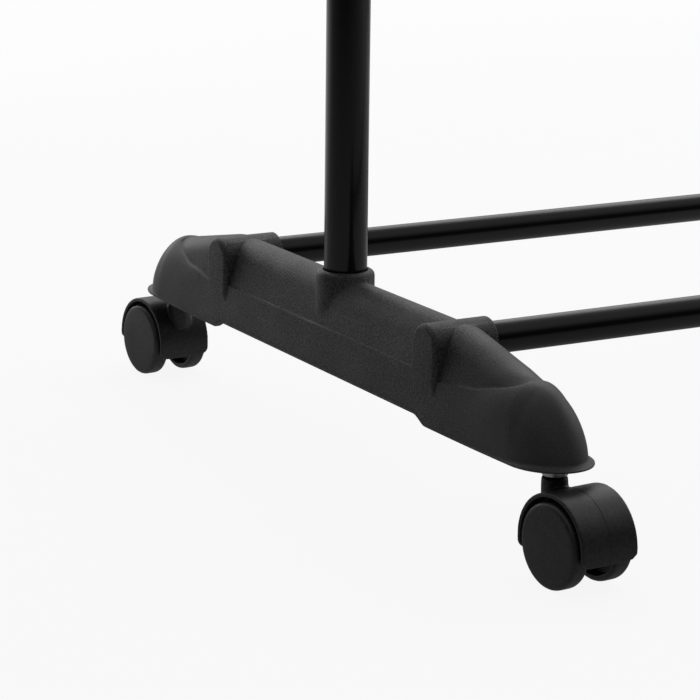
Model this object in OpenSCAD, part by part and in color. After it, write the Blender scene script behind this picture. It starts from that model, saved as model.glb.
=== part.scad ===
// Height-adjustable garment rail on castors.
// Two hollow moulded feet are joined by two bottom rails. Each foot carries an
// upright, and a riser slides in it under a twist lock. One hanging rail joins
// the risers through moulded elbows. Millimetres, Z up, floor at zero, origin
// midway between the uprights.

/* [Overall] */
// Distance between the axes of the two uprights
span = 820; // [600:10:1200]
// Height of the hanging rail's axis as it is set
rail_h = 1480; // [1300:5:1560]

/* [Tubes] */
// Diameter of the uprights
upright_d = 22; // [21:0.5:25]
// Diameter of the risers and of the hanging rail
riser_d = 19; // [16:0.5:19.5]
// Diameter of the two bottom rails
brace_d = 16; // [14:0.5:18]
// Wall of the tubes
tube_t = 0.9; // [0.7:0.1:1]
// Top of the uprights above the floor
upright_top = 860; // [700:10:900]
// Length of a riser
riser_l = 780; // [700:10:820]
// Distance of a bottom rail from the middle of the foot
brace_y = 109; // [95:1:120]

/* [Foot] */
// Length of a foot over its lip
foot_l = 426; // [400:1:460]
// Width of a foot over its lip
foot_w = 42.6; // [40:0.2:46]
// Height of a foot from its lip to its ridge
foot_h = 49; // [47:0.5:56]
// How far the lip stands out from the side
lip = 2.3; // [0.8:0.1:2.5]
// Rise of the underside between the bottom rails
arch = 3.8; // [1:0.2:6]
// Rise of the underside at the nose
spring = 2; // [0:0.2:3]
// Radius of the ridge
ridge_r = 13; // [11:0.5:14]
// Lean of the ridge's sides from the vertical
lean = 17; // [12:1:20]
// Wall of the moulding
wall = 2.6; // [2:0.1:3.2]
// Wall left round a tube socket
socket_t = 2.8; // [2.4:0.1:4]

/* [Castors] */
// Diameter of a wheel
wheel_d = 40; // [36:1:50]
// Width of a wheel
wheel_w = 9; // [7:0.5:9.5]
// Width over a pair of wheels
pair_w = 34.5; // [34:0.5:38]
// Distance from the swivel axis to the axle
trail = 17.5; // [16:0.5:22]
// Angle the castors are turned from straight out
castor_turn = 4; // [0:1:12]
// Diameter of the stem
stem_d = 8; // [7:0.5:9]
// Diameter of the axle
axle_d = 5; // [4:0.5:6]

/* [Twist lock] */
// Diameter over the grip of a lock nut
nut_d = 35; // [34:0.5:40]
// Height of a lock nut
nut_h = 56; // [50:1:70]
// Number of grip flutes
flutes = 12; // [8:1:16]

/* [Elbow] */
// Radius of the bend
bend_r = 32; // [26:1:40]
// Depth of an elbow's sockets
elbow_depth = 35; // [25:1:45]

/* [Fits] */
// Gap round a tube in its socket
socket_gap = 0.15; // [0.1:0.05:0.3]
// Gap round a turning or sliding fit
run_gap = 0.06; // [0.04:0.01:0.1]
// Gap between faces that turn past each other
face_gap = 0.3; // [0.2:0.05:0.5]
// Gap round a screw in its hole
screw_gap = 0.1; // [0.05:0.05:0.3]

/* [Hidden] */
$fn = 64;
eps = 0.01;

// Heights set by the castors
axle_z = wheel_d / 2;
hood_gap = 2.1;
hood_t = 2.1;
hood_r = wheel_d / 2 + hood_gap + hood_t;
hood_w = pair_w - 3.5;
corner_r = 4.5;
stem_top = axle_z + hood_r + 2.8;
toe_z = stem_top + 3;
flange_z = toe_z + 1.2;

// Foot, lengths along it from its middle
body_w = foot_w - 2 * lip;
half_l = foot_l / 2 - lip;
nose_l = 24.5;
nose_y = half_l - nose_l;
dome_end = half_l - 0.6;
dome_l = 36;
dome_y = dome_end - dome_l;
taper_l = 30;
taper_y = dome_end - taper_l;
crest_y = dome_y + 4.1;
slope_y = brace_y + 9;
step_y = brace_y - 8;
step_l = 11;
stem_y = foot_l / 2 - 18.2;

// Foot, heights
base_z = toe_z + 3.5;
lip_h = 1.6;
ridge_z = toe_z + foot_h;
dome_h = foot_h - 16.3;
shoulder_h = foot_h - 25;
crest_h = dome_h * pow(1 - pow((crest_y - dome_y) / dome_l, 2.55), 0.8);
slope = (ridge_z - base_z - crest_h - 0.2) / (crest_y - slope_y);
seam_step = 0.6;
seam_max = atan2(body_w / 2, 0.72 * shoulder_h);

// Sockets in the foot
boss_r = brace_d / 2 + socket_t;
brace_z = ridge_z + 0.5 - boss_r;
boss_out = body_w / 2 + 0.3;
boss_in = 16.5;
boss_foot = toe_z + 16.5;
brace_end = boss_out - 4;
collar_r = upright_d / 2 + 3.9;
collar_z = ridge_z + 3.5;
seat_z = toe_z + 14.5;
floor_t = 4;
bolt_d = 6;
washer_t = 1.2;
screw_d = 3.5;
screw_x = 5;
pad_z = brace_z - brace_d / 2 - 5;

// Castor
boss_d = stem_d + 4.6;
stem_in = stem_top - 16;
flange_r = stem_d / 2 + 2;
stem_l = 24;
web_t = 5;
hub_x = pair_w / 2 - wheel_w;
hub_r = axle_d / 2 + 2.5;
axle_x = pair_w / 2 - 2.5;

// Uprights, risers and locks
upright_in = upright_d / 2 - tube_t;
riser_in = riser_d / 2 - tube_t;
riser_z = rail_h - bend_r - 3;
plug_h = 20;
skirt = 34;
finger_h = 22;
collet_r = upright_d / 2 + 2.4;
nut_z = upright_top - 26;
leg_z = riser_z - elbow_depth;
elbow_r = riser_d / 2 + 4;

// Curves of the foot. A section is measured by angle from the vertical about
// a point just above the lip; "inset" moves it inwards for the cavity.
function arc(u) = sqrt(max(0, 1 - u * u));
function mix(a, b, t) = a + (b - a) * min(1, max(0, t));
function past_step(y) = mix(0, 1, (abs(y) - step_y - step_l) / (half_l - step_y - step_l));
function sole_z(y) = toe_z + mix(arch, 0, (abs(y) - step_y) / step_l) + spring * pow(past_step(y), 2);
function shoe_w(y) = body_w / 2 * arc(max(0, abs(y) - taper_y) / taper_l);
function lip_w(y) = abs(y) > nose_y
  ? foot_w / 2 * arc((abs(y) - nose_y) / (nose_l + lip))
  : body_w / 2 + mix(0.6, lip, (abs(y) - step_y) / (nose_y - step_y));
function shoe_h(y) = abs(y) > crest_y
  ? dome_h * pow(max(0, 1 - pow((abs(y) - dome_y) / dome_l, 2.55)), 0.8)
  : shoulder_h + (crest_h - shoulder_h) * pow(mix(0, 1, (abs(y) - slope_y) / (crest_y - slope_y)), 2);
function shoe_n(y) = mix(6, 1.86, (abs(y) - step_y) / (nose_y - step_y));
function ridge_c(y) = ridge_z - base_z - ridge_r - slope * max(0, abs(y) - slope_y);

// Reach of the shoe, whose section squares off towards the middle
function shoe_reach(y, a, inset) =
  let (w = shoe_w(y) - inset)
  let (h = shoe_h(y) - inset)
  let (n = shoe_n(y))
  pow(pow(sin(a) / w, n) + pow(cos(a) / h, n), -1 / n);

// Reach of the ridge, a round top on two leaning sides
function ridge_reach(y, a, inset) =
  let (r = ridge_r - inset)
  let (c = ridge_c(y))
  let (x = r * cos(lean))
  let (z = c + r * sin(lean))
  a < atan2(x, z)
    ? c * cos(a) + sqrt(max(0, r * r - pow(c * sin(a), 2)))
    : (x + tan(lean) * z) / (sin(a) + tan(lean) * cos(a));

// Angle at which the ridge comes out of the shoe
function seam_a(y, lo = 8, hi = seam_max, k = 14) =
  let (m = (lo + hi) / 2)
  abs(y) >= crest_y ? 20
    : k == 0 ? m
    : ridge_reach(y, m, 0) > shoe_reach(y, m, 0) ? seam_a(y, m, hi, k - 1)
    : seam_a(y, lo, m, k - 1);
function upper_reach(y, a, inset) = abs(y) >= crest_y
  ? shoe_reach(y, a, inset)
  : max(ridge_reach(y, a, inset), shoe_reach(y, a, inset)) - seam_step;

// One half of a section, from its lower edge up to the ridge
function half_ring(s, inset, low_n, top_n) =
  let (y = s[0])
  let (a0 = atan2(shoe_w(y) - inset, max(0.3, sole_z(y) + lip_h + 1.8 - base_z)))
  let (a1 = seam_a(y))
  concat(
    inset > 0
      ? [[shoe_w(y) - inset, y, toe_z - 2]]
      : [[lip_w(s[1]), s[1], sole_z(s[1])], [lip_w(s[1]), s[1], sole_z(s[1]) + lip_h]],
    [for (i = [0:low_n])
      let (a = mix(a0, a1, i / low_n))
      let (r = shoe_reach(y, a, inset))
      [r * sin(a), y, base_z + r * cos(a)]],
    [for (i = [0:top_n - 1])
      let (a = a1 * (top_n - i) / (top_n + 0.3))
      let (r = upper_reach(y, a, inset))
      [r * sin(a), y, base_z + r * cos(a)]]
  );
function ring(s, inset, low_n, top_n) =
  let (half = half_ring(s, inset, low_n, top_n))
  let (last = len(half) - 1)
  concat(
    half,
    [[0, s[0], base_z + upper_reach(s[0], 0, inset)]],
    [for (i = [0:last]) [-half[last - i][0], half[last - i][1], half[last - i][2]]]
  );

// Stations along half a foot: straight ones, then ones that close in on the nose
along = concat(
  [step_y, step_y + step_l],
  [for (k = [0, 0.18, 0.36, 0.53, 0.68, 0.8, 0.9, 0.95, 1]) slope_y + (crest_y - slope_y) * k],
  [taper_y, nose_y]
);
closing = [18, 32, 44, 54, 62, 69, 75, 80, 84.5, 88.5];
half_stations = concat(
  [for (y = along) [y, y]],
  [for (t = closing) [nose_y + (dome_end - nose_y) * sin(0.9 * t), nose_y + (nose_l + lip) * sin(t)]]
);
inner_along = concat(
  [step_y, step_y + step_l],
  [for (k = [0.26, 0.6, 0.83, 1]) slope_y + (crest_y - slope_y) * k],
  [nose_y]
);
inner_closing = [30, 50, 68];
inner_stations = concat(
  [for (y = inner_along) [y, y]],
  [for (t = inner_closing) [for (k = [0:1]) nose_y + (dome_end - wall - nose_y) * sin(t)]]
);
function both_ends(list) = concat(
  [for (i = [len(list) - 1:-1:0]) -list[i]],
  list
);

// Skin over a row of like rings, each the same on its left and right
module loft(rings) {
  n = len(rings[0]);
  m = len(rings);
  sides = [
    for (i = [0:m - 2], k = [0:n - 1])
      each [
        [i * n + k, i * n + (k + 1) % n, (i + 1) * n + (k + 1) % n],
        [i * n + k, (i + 1) * n + (k + 1) % n, (i + 1) * n + k]
      ]
  ];
  across = [
    for (k = [0:(n - 3) / 2])
      each k + 1 < n - 2 - k
        ? [[k, k + 1, n - 1 - k], [k + 1, n - 2 - k, n - 1 - k]]
        : [[k, k + 1, n - 1 - k]]
  ];
  near_cap = [for (f = across) [f[2], f[1], f[0]]];
  far_cap = [for (f = across) [for (k = f) k + (m - 1) * n]];
  polyhedron([for (r = rings) each r], concat(sides, near_cap, far_cap), convexity = 6);
}

// Turns a shape so that its Z axis lies along X, its X along Y and its Y along Z
module along_x() {
  rotate([90, 0, 90]) children();
}

module tube(d, l) {
  difference() {
    cylinder(d = d, h = l);
    translate([0, 0, -1]) cylinder(r = d / 2 - tube_t, h = l + 2);
  }
}

// Half of a bar's long section, its far corner rounded, or both corners
module rounded_half(l, r, round, both = false) {
  start = both ? round : 0;
  square([r - round, l]);
  translate([0, start]) square([r, l - round - start]);
  translate([r - round, l - round]) circle(round);
  if (both) translate([r - round, round]) circle(round);
}

module rounded_plan(l, w, round) {
  translate([round - l / 2, -w / 2]) square([l - 2 * round, w]);
  translate([-l / 2, round - w / 2]) square([l, w - 2 * round]);
  for (x = [-1, 1], y = [-1, 1]) {
    translate([x * (l / 2 - round), y * (w / 2 - round)]) circle(round);
  }
}

// Housing of a bottom rail's end: a round bar over an upright block
module rail_boss() {
  l = boss_out + boss_in;
  translate([boss_in - l, 0, brace_z]) {
    translate([l, 0, 0]) rotate([0, -90, 0]) rotate_extrude() rounded_half(l, boss_r, 2.6, true);
  }
  translate([boss_in - l / 2, 0, boss_foot]) {
    linear_extrude(height = brace_z - boss_foot) rounded_plan(l, 2 * boss_r, 2.6);
  }
}

// Material that stays inside the hollow of the foot
module foot_posts() {
  translate([0, 0, seat_z - floor_t]) cylinder(r = collar_r, h = foot_h);
  for (y = [-1, 1]) {
    translate([0, y * stem_y, flange_z]) cylinder(r = stem_d / 2 + 3.5, h = foot_h);
    translate([-foot_w, y * brace_y, brace_z]) along_x() cylinder(r = boss_r - 0.5, h = 2 * foot_w);
    translate([-foot_w, y * brace_y - 6, pad_z]) cube([2 * foot_w, 12, boss_r]);
    for (i = [0.35, 0.7]) {
      translate([-foot_w, y * brace_y * i - 1, toe_z + arch + 6]) cube([2 * foot_w, 2, foot_h]);
    }
    translate([-foot_w, y * (brace_y + 44) - 1, toe_z + 5]) cube([2 * foot_w, 2, foot_h]);
  }
  translate([-1, -stem_y, toe_z + arch + 12]) cube([2, 2 * stem_y, foot_h]);
}

// A foot stands with its rail sockets open towards +X
module foot() {
  difference() {
    union() {
      loft([for (s = both_ends(half_stations)) ring(s, 0, 6, 6)]);
      for (y = [-1, 1]) {
        translate([0, y * brace_y, 0]) rail_boss();
      }
      translate([0, 0, seat_z]) rotate_extrude() rounded_half(collar_z - seat_z, collar_r, 3);
    }
    difference() {
      loft([for (s = both_ends(inner_stations)) ring(s, wall, 4, 4)]);
      foot_posts();
    }
    translate([0, 0, seat_z]) cylinder(r = upright_d / 2 + socket_gap, h = foot_h);
    translate([0, 0, collar_z - 1.2]) {
      cylinder(r1 = upright_d / 2 + socket_gap, r2 = upright_d / 2 + 0.7, h = 1.2 + eps);
    }
    translate([0, 0, toe_z]) cylinder(d = bolt_d + 2 * screw_gap, h = foot_h);
    for (y = [-1, 1]) {
      translate([-brace_end, y * brace_y, brace_z]) along_x() {
        cylinder(r = brace_d / 2 + socket_gap, h = 2 * foot_w);
      }
      translate([screw_x, y * brace_y, pad_z - 1]) cylinder(d = screw_d + 2 * screw_gap, h = 9);
      translate([0, y * stem_y, toe_z - 1]) cylinder(r = stem_d / 2 + run_gap / 2, h = stem_l + 2);
    }
  }
}

module foot_left() {
  color("#2b2b2d") translate([-span / 2, 0, 0]) foot();
}

module foot_right() {
  color("#2b2b2d") translate([span / 2, 0, 0]) rotate(180) foot();
}

// Bottom rail, pierced from below for a screw at each end
module bottom_rail(y) {
  l = span + 2 * brace_end - 2 * socket_gap;
  difference() {
    translate([-l / 2, y, brace_z]) along_x() tube(brace_d, l);
    for (x = [-1, 1]) {
      translate([x * (span / 2 - screw_x), y, brace_z - brace_d / 2 - 1]) {
        cylinder(d = screw_d + 2 * screw_gap, h = brace_d / 2);
      }
    }
  }
}

module bottom_rail_front() {
  color("#1f2022") bottom_rail(-brace_y);
}

module bottom_rail_rear() {
  color("#1f2022") bottom_rail(brace_y);
}

// Upright, standing on the floor of its socket
module upright(x) {
  translate([x, 0, seat_z]) tube(upright_d, upright_top - seat_z);
}

module upright_left() {
  color("#1f2022") upright(-span / 2);
}

module upright_right() {
  color("#1f2022") upright(span / 2);
}

// Threaded plugs pressed into the lower ends of the uprights
module upright_plugs() {
  color("#b9bcc0") for (x = [-1, 1]) {
    translate([x * span / 2, 0, seat_z]) difference() {
      cylinder(r = upright_in - run_gap / 2, h = plug_h);
      translate([0, 0, -1]) cylinder(d = bolt_d + 2 * screw_gap, h = plug_h + 2);
    }
  }
}

// Hexagon bolts from below, one for each upright
module upright_bolts() {
  top = seat_z - floor_t - washer_t;
  color("#9ea2a6") for (x = [-1, 1]) {
    translate([x * span / 2, 0, top - 4]) {
      cylinder(d = 10 / cos(30), h = 4, $fn = 6);
      cylinder(d = bolt_d, h = 4 + floor_t + washer_t + plug_h - 3);
    }
  }
}

module upright_washers() {
  color("#b9bcc0") for (x = [-1, 1]) {
    translate([x * span / 2, 0, seat_z - floor_t - washer_t]) difference() {
      cylinder(d = 2.2 * bolt_d, h = washer_t);
      translate([0, 0, -1]) cylinder(d = bolt_d + 2 * screw_gap, h = washer_t + 2);
    }
  }
}

// Pan-head screw along +Z, its head's bearing face at the origin
module pan_screw(l) {
  cylinder(d = screw_d, h = l);
  translate([0, 0, -1.4]) cylinder(d = 7, h = 1.4);
  translate([0, 0, -2.4]) cylinder(d1 = 4.6, d2 = 7, h = 1);
}

module rail_screws() {
  color("#9ea2a6") for (x = [-1, 1], y = [-1, 1]) {
    translate([x * (span / 2 - screw_x), y * brace_y, pad_z]) pan_screw(8);
  }
}

// Places a castor part: its own +Y is the trailing side
module at_castor(x, y) {
  translate([x * span / 2, y * stem_y, 0]) {
    rotate(y > 0 ? -x * castor_turn : 180 - x * castor_turn) children();
  }
}

// Stem fixed in the foot, with a collar under the foot and a groove for its ring
module stem() {
  difference() {
    union() {
      translate([0, 0, stem_in + 1]) cylinder(d = stem_d, h = toe_z + stem_l - stem_in - 2);
      translate([0, 0, toe_z + stem_l - 1]) cylinder(d1 = stem_d, d2 = stem_d - 2, h = 1);
      translate([0, 0, stem_top + face_gap]) cylinder(r = flange_r, h = flange_z - stem_top - face_gap);
    }
    translate([0, 0, toe_z + 14]) difference() {
      cylinder(d = stem_d + 2, h = 2.4);
      translate([0, 0, -1]) cylinder(d = stem_d - 1.8, h = 5);
    }
  }
}

module stem_front_left() {
  color("#b9bcc0") at_castor(-1, -1) stem();
}

module stem_rear_left() {
  color("#b9bcc0") at_castor(-1, 1) stem();
}

module stem_front_right() {
  color("#b9bcc0") at_castor(1, -1) stem();
}

module stem_rear_right() {
  color("#b9bcc0") at_castor(1, 1) stem();
}

// Spring rings that hold the stems in the feet
module stem_rings() {
  color("#9ea2a6") for (x = [-1, 1], y = [-1, 1]) {
    at_castor(x, y) translate([0, 0, toe_z + 14.2]) difference() {
      cylinder(d = stem_d, h = 2);
      translate([0, 0, -1]) cylinder(d = stem_d - 1.7, h = 4);
      translate([0, -0.8, -1]) cube([stem_d, 1.6, 4]);
    }
  }
}

// What rounding takes off the two corners of a hood's end at angle "a", where
// "side" is 1 if the shell goes on towards larger angles, and -1 if smaller
module hood_corners(a, side) {
  low = hood_w / 2 - corner_r;
  rotate(a) translate([hood_r - 2 * hood_t, 0, 0]) rotate([0, 90, 0]) for (x = [-1, 1]) {
    difference() {
      translate([x > 0 ? low : -hood_w / 2 - 1, side > 0 ? -1 : -corner_r, 0]) {
        cube([corner_r + 1, corner_r + 1, 4 * hood_t]);
      }
      translate([x * low, side * corner_r, -1]) cylinder(r = corner_r + 0.1, h = 4 * hood_t + 2);
    }
  }
}

// Castor hood: a shell about the axle on a middle web, with the stem's boss
module hood() {
  lower = 11;
  sweep = 180 + lower + 18;
  difference() {
    union() {
      translate([0, trail, axle_z]) along_x() {
        rotate(-lower) rotate_extrude(angle = sweep, $fn = 96) {
          translate([hood_r - hood_t, -hood_w / 2]) square([hood_t - 0.6, hood_w]);
          translate([hood_r - hood_t, 0.6 - hood_w / 2]) square([hood_t, hood_w - 1.2]);
          translate([hood_r - 0.6, 0.6 - hood_w / 2]) circle(0.6);
          translate([hood_r - 0.6, hood_w / 2 - 0.6]) circle(0.6);
          translate([0, -web_t / 2]) square([hood_r - hood_t + eps, web_t]);
        }
        translate([0, 0, face_gap - hub_x]) cylinder(r = hub_r + 1, h = 2 * (hub_x - face_gap));
      }
      translate([0, 0, stem_in - 1.5]) rotate_extrude() {
        rounded_half(stem_top - stem_in + 1.5, boss_d / 2, 1.8);
      }
    }
    translate([0, trail, axle_z]) along_x() {
      hood_corners(-lower, 1);
      hood_corners(sweep - lower, -1);
    }
    translate([0, 0, stem_in]) cylinder(r = stem_d / 2 + run_gap, h = stem_top);
    translate([-hood_w, trail, axle_z]) along_x() cylinder(r = axle_d / 2 + run_gap / 2, h = 2 * hood_w);
  }
}

module hood_front_left() {
  color("#1b1b1d") at_castor(-1, -1) hood();
}

module hood_rear_left() {
  color("#1b1b1d") at_castor(-1, 1) hood();
}

module hood_front_right() {
  color("#1b1b1d") at_castor(1, -1) hood();
}

module hood_rear_right() {
  color("#1b1b1d") at_castor(1, 1) hood();
}

module axle() {
  translate([-axle_x, trail, axle_z]) along_x() cylinder(d = axle_d, h = 2 * axle_x);
}

module axle_front_left() {
  color("#b9bcc0") at_castor(-1, -1) axle();
}

module axle_rear_left() {
  color("#b9bcc0") at_castor(-1, 1) axle();
}

module axle_front_right() {
  color("#b9bcc0") at_castor(1, -1) axle();
}

module axle_rear_right() {
  color("#b9bcc0") at_castor(1, 1) axle();
}

// Wheel: a dished disc with a rim and a hub, closed on its outer face
module wheel(side) {
  r = wheel_d / 2;
  w = wheel_w;
  translate([side * hub_x, trail, axle_z]) along_x() mirror([0, 0, side > 0 ? 0 : 1]) difference() {
    rotate_extrude($fn = 96) {
      polygon([[r - 3, 0], [r - 0.8, 0], [r - 0.2, 1], [r, 2.5], [r, w - 2], [r - 2.6, w - 2]]);
      polygon([[0, w - 3], [r - 2.6, w - 3.4], [r, w - 2], [r - 0.3, w - 1.1], [r - 1.3, w - 0.4], [0, w]]);
      square([hub_r, w - 1]);
    }
    translate([0, 0, -1]) cylinder(r = axle_d / 2 + run_gap, h = axle_x - hub_x + 1 + face_gap);
  }
}

module wheel_front_left_outer() {
  color("#38383a") at_castor(-1, -1) wheel(1);
}

module wheel_front_left_inner() {
  color("#38383a") at_castor(-1, -1) wheel(-1);
}

module wheel_rear_left_outer() {
  color("#38383a") at_castor(-1, 1) wheel(-1);
}

module wheel_rear_left_inner() {
  color("#38383a") at_castor(-1, 1) wheel(1);
}

module wheel_front_right_outer() {
  color("#38383a") at_castor(1, -1) wheel(-1);
}

module wheel_front_right_inner() {
  color("#38383a") at_castor(1, -1) wheel(1);
}

module wheel_rear_right_outer() {
  color("#38383a") at_castor(1, 1) wheel(1);
}

module wheel_rear_right_inner() {
  color("#38383a") at_castor(1, 1) wheel(-1);
}

// Split collet on the upright's end: sleeve outside, fingers round the riser
module collet(x) {
  translate([x, 0, upright_top]) difference() {
    union() {
      translate([0, 0, -skirt]) cylinder(r = collet_r, h = skirt + 4);
      translate([0, 0, -skirt]) cylinder(r = nut_d / 2 - 1.5, h = 4);
      translate([0, 0, 4]) cylinder(r1 = collet_r, r2 = riser_d / 2 + 1.6, h = finger_h - 4);
    }
    translate([0, 0, -skirt - 1]) cylinder(r = upright_d / 2 + run_gap / 2, h = skirt + 1);
    translate([0, 0, -1]) cylinder(r = riser_d / 2 + run_gap, h = finger_h + 2);
    for (a = [0, 90]) {
      rotate(a + 45) translate([-nut_d, -0.8, 5]) cube([2 * nut_d, 1.6, finger_h]);
    }
  }
}

module collet_left() {
  color("#1b1b1d") collet(-span / 2);
}

module collet_right() {
  color("#1b1b1d") collet(span / 2);
}

// Lock nut over the collet, fluted for the hand
module lock_nut(x) {
  translate([x, 0, 0]) difference() {
    translate([0, 0, nut_z]) {
      cylinder(r = nut_d / 2, h = nut_h - 6);
      translate([0, 0, nut_h - 6]) cylinder(r1 = nut_d / 2, r2 = nut_d / 2 - 3, h = 6);
    }
    translate([0, 0, nut_z - 1]) cylinder(r = collet_r + face_gap, h = upright_top + 4 - nut_z + 1);
    translate([0, 0, upright_top + 4 - eps]) {
      cylinder(r1 = collet_r + face_gap, r2 = riser_d / 2 + 1.6 + face_gap, h = finger_h - 4 + eps);
    }
    cylinder(r = riser_d / 2 + 0.8, h = rail_h);
    translate([0, 0, upright_top + finger_h - eps]) cylinder(r = riser_d / 2 + 1.6 + face_gap, h = 1);
    for (i = [0:flutes - 1]) {
      rotate(i * 360 / flutes) translate([nut_d / 2 + 1.4, 0, nut_z + 5]) cylinder(r = 2.8, h = nut_h - 16);
    }
  }
}

module lock_nut_left() {
  color("#1b1b1d") lock_nut(-span / 2);
}

module lock_nut_right() {
  color("#1b1b1d") lock_nut(span / 2);
}

// Riser, pierced near its top for the elbow's screw
module riser(side) {
  difference() {
    translate([side * span / 2, 0, riser_z - riser_l]) tube(riser_d, riser_l);
    translate([side * (span / 2 - riser_d / 2 - 1), 0, leg_z + 12]) rotate([0, side * 90, 0]) {
      cylinder(d = screw_d + 2 * screw_gap, h = riser_d / 2);
    }
  }
}

module riser_left() {
  color("#1f2022") riser(-1);
}

module riser_right() {
  color("#1f2022") riser(1);
}

// Guide bush plugged into the lower end of a riser
module riser_bush(x) {
  translate([x, 0, riser_z - riser_l]) difference() {
    union() {
      translate([0, 0, -12]) cylinder(r = upright_in - run_gap, h = 12);
      cylinder(r = riser_in - run_gap / 2, h = 20);
    }
    translate([0, 0, -13]) cylinder(r = riser_in - 2, h = 40);
  }
}

module riser_bush_left() {
  color("#d8d6d0") riser_bush(-span / 2);
}

module riser_bush_right() {
  color("#d8d6d0") riser_bush(span / 2);
}

// Elbow between a riser and the hanging rail, drawn for the left side
module elbow() {
  difference() {
    union() {
      translate([0, 0, leg_z]) cylinder(r = elbow_r, h = elbow_depth + 3);
      translate([bend_r, 0, rail_h - bend_r]) rotate([90, 0, 0]) rotate(90) {
        rotate_extrude(angle = 90) translate([bend_r, 0]) circle(elbow_r);
      }
      translate([bend_r, 0, rail_h]) along_x() cylinder(r = elbow_r, h = elbow_depth + 3);
    }
    translate([0, 0, leg_z - 1]) cylinder(r = riser_d / 2 + socket_gap, h = elbow_depth + 1 + socket_gap);
    translate([bend_r + 3 - socket_gap, 0, rail_h]) along_x() {
      cylinder(r = riser_d / 2 + socket_gap, h = elbow_depth + 5);
    }
    translate([0, 0, leg_z + 12]) rotate([0, 90, 0]) {
      cylinder(d = screw_d + 2 * screw_gap, h = elbow_r + 1);
    }
    translate([bend_r + elbow_depth - 9, 0, rail_h - elbow_r - 1]) {
      cylinder(d = screw_d + 2 * screw_gap, h = elbow_r);
    }
  }
}

module elbow_left() {
  color("#2b2b2d") translate([-span / 2, 0, 0]) elbow();
}

module elbow_right() {
  color("#2b2b2d") translate([span / 2, 0, 0]) mirror([1, 0, 0]) elbow();
}

// Hanging rail, pierced from below near its ends
module hanging_rail() {
  l = span - 2 * bend_r - 6;
  color("#1f2022") difference() {
    translate([-l / 2, 0, rail_h]) along_x() tube(riser_d, l);
    for (x = [-1, 1]) {
      translate([x * (span / 2 - bend_r - elbow_depth + 9), 0, rail_h - riser_d / 2 - 1]) {
        cylinder(d = screw_d + 2 * screw_gap, h = riser_d / 2);
      }
    }
  }
}

// Screws through the elbows into the risers and the hanging rail
module elbow_screws() {
  color("#9ea2a6") for (x = [-1, 1]) {
    translate([x * (span / 2 - elbow_r), 0, leg_z + 12]) rotate([0, x * 90, 0]) pan_screw(8);
    translate([x * (span / 2 - bend_r - elbow_depth + 9), 0, rail_h - elbow_r]) pan_screw(8);
  }
}

foot_left();
foot_right();
bottom_rail_front();
bottom_rail_rear();
upright_left();
upright_right();
upright_plugs();
upright_bolts();
upright_washers();
rail_screws();
stem_front_left();
stem_rear_left();
stem_front_right();
stem_rear_right();
stem_rings();
collet_left();
collet_right();
lock_nut_left();
lock_nut_right();
riser_left();
riser_right();
riser_bush_left();
riser_bush_right();
elbow_left();
elbow_right();
hanging_rail();
elbow_screws();
hood_front_left();
hood_rear_left();
hood_front_right();
hood_rear_right();
axle_front_left();
axle_rear_left();
axle_front_right();
axle_rear_right();
wheel_front_left_outer();
wheel_front_left_inner();
wheel_rear_left_outer();
wheel_rear_left_inner();
wheel_front_right_outer();
wheel_front_right_inner();
wheel_rear_right_outer();
wheel_rear_right_inner();
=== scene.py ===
import math

import bmesh
import bpy
import numpy as np
from mathutils import Matrix, Vector


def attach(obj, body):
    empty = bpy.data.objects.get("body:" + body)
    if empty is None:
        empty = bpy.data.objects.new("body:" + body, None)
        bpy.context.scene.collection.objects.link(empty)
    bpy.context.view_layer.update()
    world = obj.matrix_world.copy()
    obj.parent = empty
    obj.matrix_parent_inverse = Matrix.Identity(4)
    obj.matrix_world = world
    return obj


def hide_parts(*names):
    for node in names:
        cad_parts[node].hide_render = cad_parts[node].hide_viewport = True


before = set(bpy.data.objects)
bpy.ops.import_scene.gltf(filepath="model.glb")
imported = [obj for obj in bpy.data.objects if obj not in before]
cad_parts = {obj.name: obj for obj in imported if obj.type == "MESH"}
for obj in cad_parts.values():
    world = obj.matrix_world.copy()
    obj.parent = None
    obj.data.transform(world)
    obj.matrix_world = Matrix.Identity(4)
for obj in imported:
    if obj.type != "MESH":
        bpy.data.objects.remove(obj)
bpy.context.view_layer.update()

# Camera. A long lens looks down on the left foot from its front left corner,
# from where the photograph was taken.
yaw, pitch, roll = math.radians(29.4428), math.radians(14.2773), math.radians(0.7063)
eye = Vector((-1.05182, -1.14272, 0.39351))
sensor_w, focal_px, picture_px = 36, 2645.16, 700
look = Vector((
    math.sin(yaw) * math.cos(pitch), math.cos(yaw) * math.cos(pitch), -math.sin(pitch)
))
level = Vector((math.cos(yaw), -math.sin(yaw), 0))
across = level * math.cos(roll) + level.cross(look) * math.sin(roll)
camera = bpy.data.objects.new("camera", bpy.data.cameras.new("camera"))
camera.data.sensor_width = sensor_w
camera.data.lens = sensor_w * focal_px / picture_px
camera.data.clip_start = 0.05
camera.data.clip_end = 60
camera.matrix_world = Matrix.Translation(eye) @ Matrix(
    (across, across.cross(look), -look)
).transposed().to_4x4()
bpy.context.scene.collection.objects.link(camera)
bpy.context.scene.camera = camera

# Studio. A pale floor in a room that is bright behind and above the object and
# dark on the camera's side, with soft boxes behind, on the right and overhead.
bpy.context.scene.view_settings.view_transform = "Standard"


def linear(code):
    """Linear colour of an sRGB hex code."""
    parts = [int(code[i:i + 2], 16) / 255 for i in (1, 3, 5)]
    return [v / 12.92 if v <= 0.04045 else ((v + 0.055) / 1.055) ** 2.4 for v in parts] + [1.0]


def put(tree, kind, inputs=None, **settings):
    """A node with its settings, and values or links on its inputs."""
    made = tree.nodes.new(kind)
    for key, value in settings.items():
        setattr(made, key, value)
    for socket, value in (inputs or {}).items():
        if isinstance(value, bpy.types.NodeSocket):
            tree.links.new(value, made.inputs[socket])
        else:
            made.inputs[socket].default_value = value
    return made


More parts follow.
